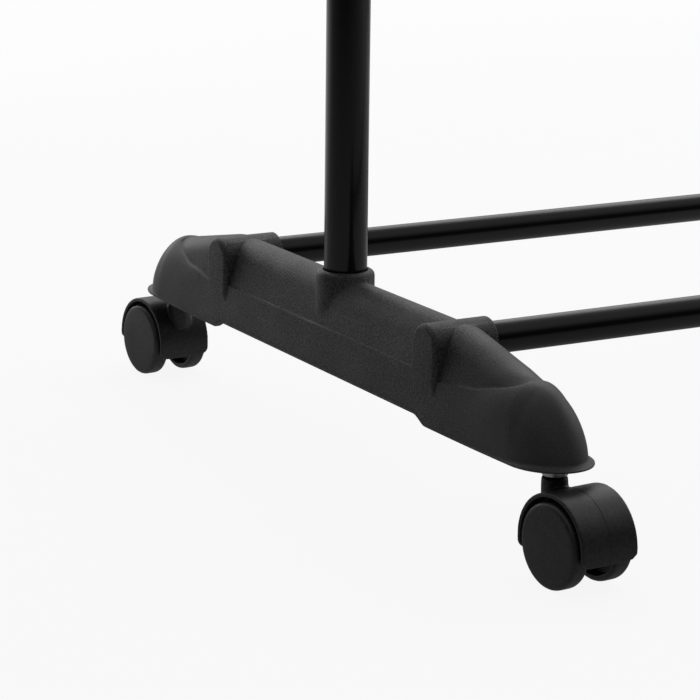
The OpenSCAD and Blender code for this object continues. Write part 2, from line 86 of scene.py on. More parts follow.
def new_finish(name):
    """A material with nothing in its node tree yet."""
    made = bpy.data.materials.new(name)
    made.use_nodes = True
    made.node_tree.nodes.clear()
    return made


# The room: its light on the object comes from behind and above. The camera
# sees it plain white.
room = bpy.data.worlds.new("room")
bpy.context.scene.world = room
room.use_nodes = True
tree = room.node_tree
tree.nodes.clear()
ray = put(tree, "ShaderNodeLightPath").outputs
way = put(tree, "ShaderNodeTexCoord").outputs["Generated"]
back_wall = put(
    tree, "ShaderNodeVectorMath", {0: way, 1: (math.sin(yaw), math.cos(yaw), 0)},
    operation="DOT_PRODUCT",
)
back_glow = put(
    tree, "ShaderNodeMapRange",
    {
        "Value": back_wall.outputs["Value"],
        "From Min": 0.0, "From Max": 0.8, "To Min": 0.02, "To Max": 0.57,
    },
    interpolation_type="SMOOTHSTEP",
)
top_glow = put(
    tree, "ShaderNodeMapRange",
    {
        "Value": put(tree, "ShaderNodeSeparateXYZ", {"Vector": way}).outputs["Z"],
        "From Min": 0.3, "From Max": 0.8, "To Min": 0.0, "To Max": 0.34,
    },
    interpolation_type="SMOOTHSTEP",
)
shade = put(
    tree, "ShaderNodeMath", {0: back_glow.outputs["Result"], 1: top_glow.outputs["Result"]},
    operation="ADD",
)
clear = put(
    tree, "ShaderNodeMath", {0: ray["Is Camera Ray"], 1: ray["Is Transmission Ray"]},
    operation="MAXIMUM",
)
strength = put(
    tree, "ShaderNodeMix", {"Factor": clear.outputs[0], "A": shade.outputs[0], "B": 1.0}
)
glow = put(
    tree, "ShaderNodeBackground",
    {"Color": linear("#ffffff"), "Strength": strength.outputs["Result"]},
)
put(tree, "ShaderNodeOutputWorld", {"Surface": glow.outputs[0]})

# The floor: matt paper that the camera sees nearly white, with a faint shadow.
# The object sees it brighter towards the back, and brightest in one corner.
paper = new_finish("matt_white_paper")
tree = paper.node_tree
ray = put(tree, "ShaderNodeLightPath").outputs
at = put(tree, "ShaderNodeTexCoord").outputs["Object"]
away = put(tree, "ShaderNodeVectorMath", {0: at}, operation="LENGTH")
veil = put(
    tree, "ShaderNodeMapRange",
    {
        "Value": away.outputs["Value"],
        "From Min": 0.9, "From Max": 2.6, "To Min": 0.9, "To Max": 1.0,
    },
    interpolation_type="SMOOTHSTEP",
)
behind = put(
    tree, "ShaderNodeVectorMath", {0: at, 1: (0.7, 0.714, 0)}, operation="DOT_PRODUCT"
)
sheen = put(
    tree, "ShaderNodeMapRange",
    {
        "Value": behind.outputs["Value"],
        "From Min": -1.2, "From Max": 0.7, "To Min": 0.0, "To Max": 0.53,
    },
)
corner = put(
    tree, "ShaderNodeVectorMath", {0: at, 1: (-0.58, 0.9, 0)}, operation="DISTANCE"
)
patch = put(
    tree, "ShaderNodeMapRange",
    {
        "Value": corner.outputs["Value"],
        "From Min": 0.25, "From Max": 0.75, "To Min": 0.35, "To Max": 0.0,
    },
    interpolation_type="SMOOTHSTEP",
)
lit = put(
    tree, "ShaderNodeMath", {0: sheen.outputs["Result"], 1: patch.outputs["Result"]},
    operation="ADD",
)
matt = put(tree, "ShaderNodeBsdfDiffuse", {"Color": linear("#e9e9e9")})
white = put(tree, "ShaderNodeEmission", {"Color": linear("#ffffff"), "Strength": 1.0})
seen = put(
    tree, "ShaderNodeMixShader",
    {0: veil.outputs["Result"], 1: matt.outputs[0], 2: white.outputs[0]},
)
bounce = put(
    tree, "ShaderNodeEmission", {"Color": linear("#ffffff"), "Strength": lit.outputs[0]}
)
either = put(
    tree, "ShaderNodeMixShader",
    {0: ray["Is Camera Ray"], 1: bounce.outputs[0], 2: seen.outputs[0]},
)
put(tree, "ShaderNodeOutputMaterial", {"Surface": either.outputs[0]})

floor_reach = 9
sheet = bmesh.new()
bmesh.ops.create_grid(sheet, x_segments=4, y_segments=4, size=floor_reach)
floor = bpy.data.objects.new("floor", bpy.data.meshes.new("floor"))
sheet.to_mesh(floor.data)
sheet.free()
floor.data.materials.append(paper)
bpy.context.scene.collection.objects.link(floor)

lamp_aim = Vector((-0.41, 0, 0.08))
for name, place, width, height, power in (
    ("back_box", (-0.43, 1.96, 0.5), 0.8, 0.7, 3.2),
    ("right_box", (1.4, 0.02, 0.93), 0.8, 0.8, 5),
    ("top_box", (0.39, 1.42, 1.55), 2.0, 1.5, 10),
):
    lamp = bpy.data.objects.new(name, bpy.data.lights.new(name, "AREA"))
    lamp.data.shape = "RECTANGLE"
    lamp.data.size, lamp.data.size_y, lamp.data.energy = width, height, power
    lamp.location = place
    lamp.rotation_euler = (lamp_aim - Vector(place)).to_track_quat("-Z", "Y").to_euler()
    bpy.context.scene.collection.objects.link(lamp)

# Feet. Each is one hollow moulding of black polypropylene: a shoe with a
# flared lip, a ridge that rises out of it along a fine crease, two housings
# for the bottom rails and a collar for the upright. The mould is spark grained.
MM = 0.001
span = 820  # from upright to upright; all sizes are in millimetres
body_w, lip, side_lip, nose_lip, wall = 38.0, 2.3, 0.1, 0.8, 2.6
half_l, nose_l = 210.7, 24.5
nose_y, dome_end = half_l - nose_l, half_l - 0.6
dome_l, taper_l = 36.0, 30.0
dome_y, taper_y = dome_end - dome_l, dome_end - taper_l
crest_y = dome_y + 4.1
toe_z, base_z, ridge_z = 50.0, 53.5, 99.0
arch, spring = 3.8, 2.0
dome_h, shoulder_h, dome_bend, dome_round = 32.7, 24.0, 2.55, 0.8
boxy_n, nose_n = 6.0, 1.86  # how square the shoe's section is, in the middle and at the nose
ridge_r, lean = 13.0, math.radians(17)
rail_y, rail_z, rail_d = 109.0, 88.7, 16.0
slope_y, step_y, step_l = rail_y + 9, rail_y - 8, 11.0
boss_r, boss_out, boss_in = 10.8, 19.3, 16.5
collar_r, collar_z, collar_round, collar_blend = 14.9, 102.5, 3.0, 0.9
crease, crease_low, draft = 0.6, 0.72 * shoulder_h, math.radians(5)
ledge_w, front_ledge_w, ledge_tilt, ledge_fade = 1.5, 2.8, 1.08, 10.0
side_swell, shoulder_n = 0.4, 10
crest_h = dome_h * (1 - ((crest_y - dome_y) / dome_l) ** dome_bend) ** dome_round
slope = (ridge_z - base_z - crest_h - 0.2) / (crest_y - slope_y)
tiny, halvings, far_out = 1e-5, 26, 75.0


def ramp(value, low, high):
    """From 0 to 1 between two bounds."""
    return np.clip((value - low) / (high - low), 0, 1)


def soft_ramp(value, low, high):
    """The same, easing in and out."""
    t = ramp(value, low, high)
    return t * t * (3 - 2 * t)


def sole(y):
    """Height of the foot's lower edge: arched in the middle, turned up at the nose."""
    far = ramp(np.abs(y), step_y + step_l, half_l)
    return toe_z + arch * (1 - soft_ramp(np.abs(y), step_y, step_y + step_l)) + spring * far ** 2


def shoe_reach(y, a):
    """Reach of the shoe from the foot's inner axis, at an angle from the vertical."""
    y = np.abs(y)
    taper = np.maximum(0, (y - taper_y) / taper_l)
    w = body_w / 2 * np.sqrt(np.maximum(tiny, 1 - taper ** 2))
    fall = np.maximum(tiny, 1 - ramp(y, dome_y, dome_end) ** dome_bend)
    # The shoulder rises slowly from the housing and rounds over below the crest
    slow, late = ramp(y, slope_y, crest_y) ** 2, soft_ramp(y, slope_y + 27, crest_y - 3)
    back = shoulder_h + (crest_h - shoulder_h) * (0.35 * slow + 0.65 * late)
    h = np.where(y > crest_y, dome_h * fall ** dome_round, back)
    n = boxy_n + (nose_n - boxy_n) * ramp(y, step_y, nose_y)
    return ((np.abs(np.sin(a)) / w) ** n + (np.abs(np.cos(a)) / h) ** n) ** (-1 / n)


def ridge_reach(y, a):
    """Reach of the ridge: a round top on leaning sides, diving under the shoe past the crest."""
    y = np.abs(y)
    past = np.maximum(0, y - crest_y + 2)
    dive = slope * np.maximum(0, y - slope_y) + 0.35 * past + 0.04 * past ** 2
    c = ridge_z - base_z - ridge_r - dive
    x, z = ridge_r * math.cos(lean), c + ridge_r * math.sin(lean)
    top = c * np.cos(a) + np.sqrt(np.maximum(0, ridge_r ** 2 - (c * np.sin(a)) ** 2))
    side = (x + math.tan(lean) * z) / np.maximum(1e-3, np.sin(a) + math.tan(lean) * np.cos(a))
    return np.where(a < np.arctan2(x, z), top, side)


def crease_angle(y):
    """Angle from the vertical at which the ridge comes out of the shoe."""
    low = np.zeros_like(y)
    high = np.full_like(y, math.atan2(body_w / 2, crease_low))
    for _ in range(halvings):
        middle = (low + high) / 2
        above = ridge_reach(y, middle) > shoe_reach(y, middle)
        low, high = np.where(above, middle, low), np.where(above, high, middle)
    return low


crease_y = np.linspace(0, half_l, 600)
crease_a = crease_angle(crease_y)


def side_reach(y, a):
    """Reach of the shoe below the crease: boxy with a little draft, rounder towards the nose."""
    y = np.abs(y)
    boxy = 1 - soft_ramp(y, slope_y, crest_y - 4)
    side = body_w / 2 + side_swell
    side /= np.maximum(1e-3, np.sin(a) + math.tan(draft) * np.cos(a))
    top = 1.15 * crest_h / np.maximum(1e-3, np.cos(a))
    box = (side ** -shoulder_n + top ** -shoulder_n) ** (-1 / shoulder_n)
    return boxy * box + (1 - boxy) * shoe_reach(y, a)


def body_reach(y, a):
    """Reach of the shoe and ridge from the foot's inner axis, at an angle from the vertical."""
    shoe = shoe_reach(y, a)
    edge = np.interp(np.abs(y), crease_y, crease_a)
    over = (edge - a) * shoe
    # The ridge starts behind a level ledge on the shoe's edge, wider in front of the housing
    front = soft_ramp(np.abs(y), slope_y, slope_y + 30)
    ledge = ledge_w + (front_ledge_w - ledge_w) * front
    below = side_reach(y, np.maximum(a, edge))
    drop = ledge_tilt * ledge * np.tan(edge) - crease
    drop += ridge_reach(y, edge) - side_reach(y, edge)
    sunk = crease + front * drop * (1 - soft_ramp(over, ledge, ledge_fade))
    ridge = np.maximum(shoe, ridge_reach(y, a)) - sunk
    return below + (ridge - below) * soft_ramp(over, 0, ledge)


def rounded(p, q, r):
    """Where two half spaces meet, with the edge rounded off."""
    corner_part = np.hypot(np.maximum(p + r, 0), np.maximum(q + r, 0))
    return np.minimum(np.maximum(p, q) + r, 0) + corner_part - r


def blended(p, q, k):
    """Two fields joined, with a fillet where they meet."""
    h = np.clip(0.5 + 0.5 * (q - p) / k, 0, 1)
    return q + (p - q) * h - k * h * (1 - h)


def bare_skin(x, y, z):
    """Below zero inside the shoe and ridge, above zero outside."""
    up = z - base_z
    return np.hypot(x, up) - body_reach(y, np.arctan2(np.abs(x), up))


def foot_skin(x, y, z):
    """The same with the collar blended in."""
    collar = rounded(np.hypot(x, y) - collar_r, z - collar_z, collar_round)
    return blended(bare_skin(x, y, z), collar, collar_blend)


def reach(origin, way, field):
    """Distance along each ray at which the field turns positive."""
    low, high = np.zeros(len(way)), np.full(len(way), far_out)
    for _ in range(halvings):
        middle = (low + high) / 2
        outside = field(*(origin + way * middle[:, None]).T) > 0
        high, low = np.where(outside, middle, high), np.where(outside, low, middle)
    return low


# Stations run along the foot, close together at the collar, the arch's step and
# the crest. At each nose they fan round an upright axis.
fine_step, coarse_step, fan_n = 0.8, 2.2, 26
stations = [0.0]
while stations[-1] < nose_y:
    y = stations[-1]
    fine = y < 20 or abs(y - step_y - step_l / 2) < 8 or abs(y - crest_y) < 6
    stations.append(min(nose_y, y + (fine_step if fine else coarse_step)))
fan = [math.radians(90 * i / fan_n) for i in range(1, fan_n + 1)]
half = [(y, 0.0) for y in stations] + [(nose_y, t) for t in fan]
rows = [(-y, -t) for y, t in reversed(half[1:])] + half

# Steps round half a section, and the lip's edge as steps inwards and upwards
low_n, up_n, flare_n, inner_n = 30, 36, 7, 14
low_steps = [1 - (1 - i / low_n) ** 1.35 for i in range(low_n)]
up_steps = [(i / up_n) ** 1.2 for i in range(up_n + 1)]
lip_edge = ((1.4, 0), (0.5, 0), (0.14, 0.14), (0, 0.5), (0.1, 0.9))
lip_top_in, lip_top_up, flare_h = 0.35, 1.15, 3.6
least_seam, nose_seam = math.radians(9), math.radians(20)


def half_section(y, t, side):
    """Outer and inner points of half a section, from the lip's lower edge up to the top."""
    end = math.copysign(1, y) if y else 1
    turn = abs(t)
    plan = np.array([side * body_w / 2 * math.cos(turn), end * nose_l * math.sin(turn)])
    width = np.linalg.norm(plan)
    plan /= width
    low_z = float(sole(y + end * nose_l * math.sin(turn)))
    start = math.atan2(width, max(0.5, low_z + flare_h - base_z))
    seam = float(np.interp(min(abs(y), crest_y - 1), crease_y, crease_a))
    seam = max(least_seam, seam)
    seam += soft_ramp(abs(y), crest_y - 2, nose_y) * (nose_seam - seam)
    origin = np.array([0, y, base_z])

    def points(angles, field, inset):
        angles = np.array(angles)
        ways = np.column_stack(
            [np.sin(angles) * plan[0], np.sin(angles) * plan[1], np.cos(angles)]
        )
        far = reach(origin, ways, field) - inset
        return [Vector(p) for p in origin + ways * far[:, None]]

    below = [start + (seam - start) * s for s in low_steps]
    above = [seam * (1 - s) for s in up_steps]
    outer = points(below + above, foot_skin, 0)
    inner = points([start * (1 - i / inner_n) for i in range(inner_n + 1)], bare_skin, wall)
    inner.insert(0, Vector((inner[0].x, inner[0].y, toe_z - 4)))
    # The lip, from its lower edge round to the flare and up into the side
    grow = side_lip + (nose_lip - side_lip) * float(ramp(abs(y), step_y, nose_y)) ** 2
    grow += (lip - nose_lip) * math.sin(turn)
    edge = Vector((
        side * (body_w / 2 + grow) * math.cos(turn),
        y + end * (nose_l + grow) * math.sin(turn),
        low_z,
    ))
    away = (edge - Vector((0, y, low_z))).normalized()
    lips = [edge - away * back + Vector((0, 0, rise)) for back, rise in lip_edge]
    lowest = edge - away * lip_top_in + Vector((0, 0, lip_top_up))
    for i in range(1, flare_n):
        q = math.pi / 2 * (1 - i / flare_n)
        flare = outer[0].lerp(lowest, 1 - math.cos(q))
        flare.z = lowest.z + (outer[0].z - lowest.z) * (1 - math.sin(q))
        lips.append(flare)
    return lips + outer, inner


def closed_skin(loops):
    """A closed skin over a row of like loops, the first and last of which fold flat."""
    skin = bmesh.new()
    wide = len(loops[0])
    bmesh.ops.create_grid(skin, x_segments=wide - 1, y_segments=len(loops) - 1, size=1)
    for k, vert in enumerate(skin.verts):
        vert.co = loops[k // wide][k % wide] * MM
    bmesh.ops.remove_doubles(skin, verts=skin.verts, dist=0.000001)
    bmesh.ops.dissolve_degenerate(skin, edges=skin.edges, dist=0.000001)
    bmesh.ops.recalc_face_normals(skin, faces=skin.faces)
    return skin


def carve(body, *tools, operation="DIFFERENCE"):
    """The body with the tools cut from it one by one, or joined to it."""
    for tool in tools:
        pair = []
        for mesh in (body, tool):
            data = bpy.data.meshes.new("carve")
            mesh.to_mesh(data)
            mesh.free()
            pair.append(bpy.data.objects.new("carve", data))
            bpy.context.scene.collection.objects.link(pair[-1])
        cut = pair[0].modifiers.new("cut", "BOOLEAN")
        cut.object, cut.operation, cut.solver = pair[1], operation, "MANIFOLD"
        done = pair[0].evaluated_get(bpy.context.evaluated_depsgraph_get())
        body = bmesh.new()
        body.from_mesh(done.data)
        for item in pair:
            data = item.data
            bpy.data.objects.remove(item)
            bpy.data.meshes.remove(data)
    return body


def rod(d, start, end, segments=64):
    """A round bar between two points, in millimetres."""
    bar = bmesh.new()
    start, end = Vector(start) * MM, Vector(end) * MM
    turn = (end - start).to_track_quat("Z", "Y").to_matrix().to_4x4()
    bmesh.ops.create_cone(
        bar, cap_ends=True, segments=segments, radius1=d / 2 * MM, radius2=d / 2 * MM,
        depth=(end - start).length, matrix=Matrix.Translation((start + end) / 2) @ turn,
    )
    return bar


def block(low, high):
    """A box between two corners, in millimetres."""
    made = bmesh.new()
    low, high = Vector(low) * MM, Vector(high) * MM
    stretch = Matrix.Diagonal((*(high - low), 1))
    bmesh.ops.create_cube(made, size=1, matrix=Matrix.Translation((low + high) / 2) @ stretch)
    return made


def housing(end):
    """Housing of a bottom rail's end: an arched bar across the foot, flat at its outer end."""
    fade_z, low_z, lean_in = toe_z + 21.5, toe_z + 4, 0.16
    outer_round, inner_round = 2.6, 0.45
    outline = [
        (boss_r * math.cos(t), rail_z + boss_r * math.sin(t)) for t in np.linspace(0, math.pi, 41)
    ]
    outline += [(-boss_r, fade_z), (-boss_r, low_z), (boss_r, low_z), (boss_r, fade_z)]
    bar = bmesh.new()
    near = [bar.verts.new(Vector((-boss_out, end * rail_y + y, z)) * MM) for y, z in outline]
    for ring in (near[:-3] + near[-1:], near[-4:]):
        bar.faces.new(ring)
    grown = bmesh.ops.extrude_face_region(bar, geom=bar.faces[:], use_keep_orig=True)["geom"]
    far = [item for item in grown if isinstance(item, bmesh.types.BMVert)]
    bmesh.ops.translate(bar, verts=far, vec=((boss_out + boss_in) * MM, 0, 0))
    # Low down, the outer end leans in until the foot's side covers it
    for vert in near:
        vert.co.x += lean_in * max(0, fade_z * MM - vert.co.z)
    bmesh.ops.recalc_face_normals(bar, faces=bar.faces)
    for ring, round_r in ((near, outer_round), (far, inner_round)):
        ring = set(ring)
        rim = [e for e in bar.edges if ring.issuperset(e.verts) and e.calc_face_angle(0) > 1]
        bmesh.ops.bevel(
            bar, geom=rim, offset=round_r * MM, offset_type="OFFSET", affect="EDGES",
            segments=8, profile=0.5, clamp_overlap=True, material=-1,
        )
    return bar


def lathe(profile, steps=64, place=Matrix()):
    """A closed profile of radius and height in millimetres, spun round Z and put in place."""
    made = bmesh.new()
    ring = [made.verts.new((r * MM, 0, z * MM)) for r, z in profile]
    edges = [
        made.edges.new((ring[i - 1], ring[i]))
        for i in range(len(ring)) if profile[i - 1][0] or profile[i][0]
    ]
    bmesh.ops.spin(
        made, geom=ring + edges, cent=(0, 0, 0), axis=(0, 0, 1), angle=2 * math.pi,
        steps=steps, use_merge=True,
    )
    bmesh.ops.remove_doubles(made, verts=made.verts, dist=0.000002)
    bmesh.ops.recalc_face_normals(made, faces=made.faces)
    bmesh.ops.transform(made, matrix=place, verts=made.verts)
    return made


def piece(name, shape, finish, body, slot, *nodes, sharp=40):
    """A finished piece: smooth but for sharp edges, riding a body and standing for its solids."""
    for edge in shape.edges:
        soft = len(edge.link_faces) == 2 and edge.calc_face_angle() < math.radians(sharp)
        edge.smooth = soft
    for face in shape.faces:
        face.smooth = True
    made = bpy.data.objects.new(name, bpy.data.meshes.new(name))
    shape.to_mesh(made.data)
    shape.free()
    made.data.materials.append(finish)
    bpy.context.scene.collection.objects.link(made)
    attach(made, body)
    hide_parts(*nodes)
    return made


outer_loops, inner_loops = [], []
for y, t in rows:
    left, left_in = half_section(y, t, -1)
    right, right_in = half_section(y, t, 1)
    outer_loops.append(left + right[-2::-1] + left[:1])
    inner_loops.append(left_in + right_in[-2::-1] + left_in[:1])

# What stays inside the hollow: the posts round the upright, the rails and the
# castor stems, cross ribs and a rib along the middle
seat_z, pad_z = 64.5, rail_z - rail_d / 2 - 5
stem_y, stem_d, bolt_d, screw_d, screw_x = 194.8, 8.0, 6.0, 3.5, 5.0
upright_d, gap = 22.0, 0.15
post_r, half_rib, wide, high = 13.8, 1, 40, 120
posts = [
    rod(2 * post_r, (0, 0, seat_z - 4), (0, 0, high)),
    block((-half_rib, -stem_y, toe_z + arch + 12), (half_rib, stem_y, high)),
]
cross_ribs = (
    (0.35 * rail_y, toe_z + arch + 6), (0.7 * rail_y, toe_z + arch + 6), (rail_y + 44, toe_z + 5)
)
for end in (-1, 1):
    posts += [
        rod(stem_d + 7, (0, end * stem_y, toe_z + 1.2), (0, end * stem_y, high)),
        rod(2 * boss_r - 1, (-wide, end * rail_y, rail_z), (wide, end * rail_y, rail_z)),
        block((-wide, end * rail_y - 6, pad_z), (wide, end * rail_y + 6, rail_z)),
    ]
    for y, low in cross_ribs:
        posts.append(block((-wide, end * y - half_rib, low), (wide, end * y + half_rib, high)))
hollow = carve(closed_skin(inner_loops), *posts)
socket_r, bolt_r = upright_d / 2 + gap, bolt_d / 2 + 0.1
socket = lathe([
    (0, toe_z), (bolt_r, toe_z), (bolt_r, seat_z), (socket_r, seat_z), (socket_r, collar_z - 1.2),
    (upright_d / 2 + 0.5, collar_z - 0.5), (upright_d / 2 + 0.7, collar_z + 0.2),
    (upright_d / 2 + 0.7, 130), (0, 130),
], 96)
cuts = [hollow, socket]
for end in (-1, 1):
    y = end * rail_y
    cuts += [
        rod(rail_d + 2 * gap, (4 - boss_out, y, rail_z), (60, y, rail_z)),
        rod(screw_d + 0.2, (screw_x, y, pad_z - 2), (screw_x, y, pad_z + 8), 24),
        rod(stem_d + 0.06, (0, end * stem_y, toe_z - 2), (0, end * stem_y, toe_z + 24.5)),
    ]
foot = carve(closed_skin(outer_loops), housing(-1), housing(1), operation="UNION")
foot = carve(foot, *cuts)

# Spark-grained polypropylene, as moulded: dull charcoal with a fine even grain
# that breaks up the gloss. Its specks are painted fainter towards the noses,
# where the light grazes less: painted light. The real grain is about
# 0.5 mm across; it is drawn at 0.8 mm so that it shows.
grain_w, cloud_w = 0.8, 30
polypropylene = new_finish("grained_black_polypropylene")
tree = polypropylene.node_tree
at = put(tree, "ShaderNodeTexCoord").outputs["Object"]
grain = put(
    tree, "ShaderNodeTexNoise",
    {"Vector": at, "Scale": 1 / (grain_w * MM), "Detail": 2.0, "Roughness": 0.6},
)
cloud = put(tree, "ShaderNodeTexNoise", {"Vector": at, "Scale": 1 / (cloud_w * MM), "Detail": 2.0})
tint = put(
    tree, "ShaderNodeMapRange",
    {
        "Value": grain.outputs["Fac"],
        "From Min": 0.36, "From Max": 0.64, "To Min": 0.0, "To Max": 1.0,
    },
)
along = put(tree, "ShaderNodeSeparateXYZ", {"Vector": at}).outputs["Y"]
# Painted light: the grain's light and dark specks are full strength up to 0.11 m from the middle
# and a quarter at 0.17 m. They stand in for light that grazes the sides and not the noses, and the
# bumps fade with them.
grazing_light_grain = put(
    tree, "ShaderNodeMapRange",
    {
        "Value": put(tree, "ShaderNodeMath", {0: along}, operation="ABSOLUTE").outputs[0],
        "From Min": 0.11, "From Max": 0.17, "To Min": 1.0, "To Max": 0.25,
    },
)
speckle = put(
    tree, "ShaderNodeMix",
    {"Factor": grazing_light_grain.outputs["Result"], "A": 0.5, "B": tint.outputs["Result"]},
)
tone = put(
    tree, "ShaderNodeMix",
    {"Factor": speckle.outputs["Result"], "A": linear("#151517"), "B": linear("#545456")},
    data_type="RGBA",
)
dull = put(
    tree, "ShaderNodeMapRange",
    {
        "Value": cloud.outputs["Fac"],
        "From Min": 0.3, "From Max": 0.7, "To Min": 0.5, "To Max": 0.6,
    },
)
bumps = put(
    tree, "ShaderNodeBump",
    {"Height": grain.outputs["Fac"], "Strength": grazing_light_grain.outputs["Result"], "Distance": 0.0003},
)
skin = put(
    tree, "ShaderNodeBsdfPrincipled",
    {
        "Base Color": tone.outputs["Result"], "Roughness": dull.outputs["Result"],
        "Normal": bumps.outputs[0], "IOR": 1.49,
    },
)
put(tree, "ShaderNodeOutputMaterial", {"Surface": skin.outputs[0]})

for side, turn in ((-1, 0), (1, math.pi)):
    place = Matrix.Translation((side * span / 2 * MM, 0, 0)) @ Matrix.Rotation(turn, 4, "Z")
    copy = foot.copy()
    bmesh.ops.transform(copy, matrix=place, verts=copy.verts)
    hand = "left" if side < 0 else "right"
    piece(f"foot_{hand}_moulding", copy, polypropylene, "base", "foot_plastic", f"foot_{hand}")
foot.free()

# Bottom rails. Two drawn steel tubes, powder coated black, pushed into the
# feet's housings and held there by a screw from below at each end.
tube_t = 0.9


def tube(d, start, end):
    """A tube between two points, its edges broken at both ends."""
    r, hole = d / 2, d / 2 - tube_t
    start, end = Vector(start), Vector(end)
    run = (end - start).length
    turn = (end - start).to_track_quat("Z", "Y").to_matrix().to_4x4()
    return lathe([
        (hole, 0.15), (hole + 0.15, 0), (r - 0.25, 0), (r - 0.07, 0.07), (r, 0.25),
        (r, run - 0.25), (r - 0.07, run - 0.07), (r - 0.25, run), (hole + 0.15, run),
        (hole, run - 0.15),
    ], 72, Matrix.Translation(start * MM) @ turn)


# Powder coat on steel: near black and half glossy, with the slight orange peel
# of baked powder, 3 mm from crest to crest, and a few specks of dust under it.
peel_w, speck_gap = 3, 30
powder_coat = new_finish("black_powder_coated_steel")
tree = powder_coat.node_tree
at = put(tree, "ShaderNodeTexCoord").outputs["Object"]
peel = put(tree, "ShaderNodeTexNoise", {"Vector": at, "Scale": 1 / (peel_w * MM), "Detail": 1.0})
specks = put(
    tree, "ShaderNodeTexVoronoi", {"Vector": at, "Scale": 1 / (speck_gap * MM)}, feature="F1"
)
speck = put(
    tree, "ShaderNodeMapRange",
    {
        "Value": specks.outputs["Distance"],
        "From Min": 0.012, "From Max": 0.02, "To Min": 1.0, "To Max": 0.0,
    },
)
tone = put(
    tree, "ShaderNodeMix",
    {"Factor": speck.outputs["Result"], "A": linear("#0f0f10"), "B": linear("#2e2e2f")},
    data_type="RGBA",
)
gloss = put(
    tree, "ShaderNodeMapRange",
    {
        "Value": peel.outputs["Fac"],
        "From Min": 0.3, "From Max": 0.7, "To Min": 0.17, "To Max": 0.23,
    },
)
bumps = put(
    tree, "ShaderNodeBump", {"Height": peel.outputs["Fac"], "Strength": 0.25, "Distance": 0.00004}
)
skin = put(
    tree, "ShaderNodeBsdfPrincipled",
    {
        "Base Color": tone.outputs["Result"], "Roughness": gloss.outputs["Result"],
        "Normal": bumps.outputs[0], "IOR": 1.5,
    },
)
put(tree, "ShaderNodeOutputMaterial", {"Surface": skin.outputs[0]})

rail_x = span / 2 + boss_out - 4 - gap
for end, hand in ((-1, "front"), (1, "rear")):
    bar = tube(rail_d, (-rail_x, end * rail_y, rail_z), (rail_x, end * rail_y, rail_z))
    piece(
        f"bottom_rail_{hand}_tube", bar, powder_coat, "base", "tube_paint", f"bottom_rail_{hand}"
    )

# Uprights. The same coated tube, standing in the feet's collars and open at
# the top for the risers.
upright_top = 860.0
for side, hand in ((-1, "left"), (1, "right")):
    bar = tube(upright_d, (side * span / 2, 0, seat_z), (side * span / 2, 0, upright_top))
    piece(f"upright_{hand}_tube", bar, powder_coat, "base", "tube_paint", f"upright_{hand}")

# Castor stems. Turned steel, zinc plated bright, pressed up into the feet, with
# a thick collar that bears on the lip's underside. A spring ring holds each.
axle_z, trail, castor_turn = 20.0, 17.5, 4
hood_r, hood_w, hood_t, corner_r = 24.2, 31.0, 2.1, 4.5
stem_top = axle_z + hood_r + 2.8
stem_low, flange_r, flange_z = stem_top - 15, 6.0, toe_z + 1.2
boss_z, ring_z, ring_h, ring_deep, stem_end = stem_top - 0.9, toe_z + 14, 2.4, 0.9, toe_z + 24
castors = [(end, side) for end in (-1, 1) for side in (-1, 1)]

# Bright zinc plate on turned steel: a cold grey mirror, blurred in faint rings
# that the lathe left, 0.4 mm apart along the stem.
mark_w, mark_squeeze = 6, 14
zinc = new_finish("bright_zinc_plated_steel")
tree = zinc.node_tree
at = put(tree, "ShaderNodeTexCoord").outputs["Object"]
squeezed = put(tree, "ShaderNodeMapping", {"Vector": at, "Scale": (1, 1, mark_squeeze)})
lathe_marks = put(
    tree, "ShaderNodeTexNoise",
    {"Vector": squeezed.outputs[0], "Scale": 1 / (mark_w * MM), "Detail": 3.0},
)
tone = put(
    tree, "ShaderNodeMix",
    {"Factor": lathe_marks.outputs["Fac"], "A": linear("#b4b6b8"), "B": linear("#dcdddd")},
    data_type="RGBA",
)
gloss = put(
    tree, "ShaderNodeMapRange",
    {
        "Value": lathe_marks.outputs["Fac"],
        "From Min": 0.3, "From Max": 0.7, "To Min": 0.18, "To Max": 0.34,
    },
)
skin = put(
    tree, "ShaderNodeBsdfPrincipled",
    {
        "Base Color": tone.outputs["Result"], "Metallic": 1.0,
        "Roughness": gloss.outputs["Result"],
    },
)
put(tree, "ShaderNodeOutputMaterial", {"Surface": skin.outputs[0]})


def castor_place(end, side):
    """Where a castor stands; its own +Y is the side that trails."""
    turn = -side * castor_turn if end > 0 else 180 - side * castor_turn
    stand = Matrix.Translation((side * span / 2 * MM, end * stem_y * MM, 0))
    return stand @ Matrix.Rotation(math.radians(turn), 4, "Z")


def castor_name(end, side):
    """Which corner a castor stands at."""
    return ("front" if end < 0 else "rear") + ("_left" if side < 0 else "_right")


for end, side in castors:
    r, name = stem_d / 2, castor_name(end, side)
    pin = lathe([
        (0, stem_low), (r - 0.6, stem_low), (r, stem_low + 0.6), (r, boss_z + 0.3),
        (flange_r - 0.4, boss_z + 0.3), (flange_r, boss_z + 0.7), (flange_r, flange_z - 0.4),
        (flange_r - 0.4, flange_z), (r, flange_z), (r, ring_z), (r - ring_deep, ring_z),
        (r - ring_deep, ring_z + ring_h), (r, ring_z + ring_h), (r, stem_end - 1),
        (r - 1, stem_end), (0, stem_end),
    ], 48, castor_place(end, side))
    piece(f"castor_{name}_stem", pin, zinc, "base", "bright_steel", f"stem_{name}")

# Castor hoods. One black nylon moulding each: a curved cover over the wheels, a
# web between them and a boss that turns on the stem. Edges and corners are soft.
pair_w, wheel_w, wheel_d, axle_d = 34.5, 9.0, 40.0, 5.0
hub_x = pair_w / 2 - wheel_w
hub_r, hub_half, half_web = axle_d / 2 + 3.5, hub_x - 0.3, 2.5
at_axle = Matrix.Translation((0, trail * MM, axle_z * MM))
hood_low, hood_sweep = math.radians(-11), math.radians(209)

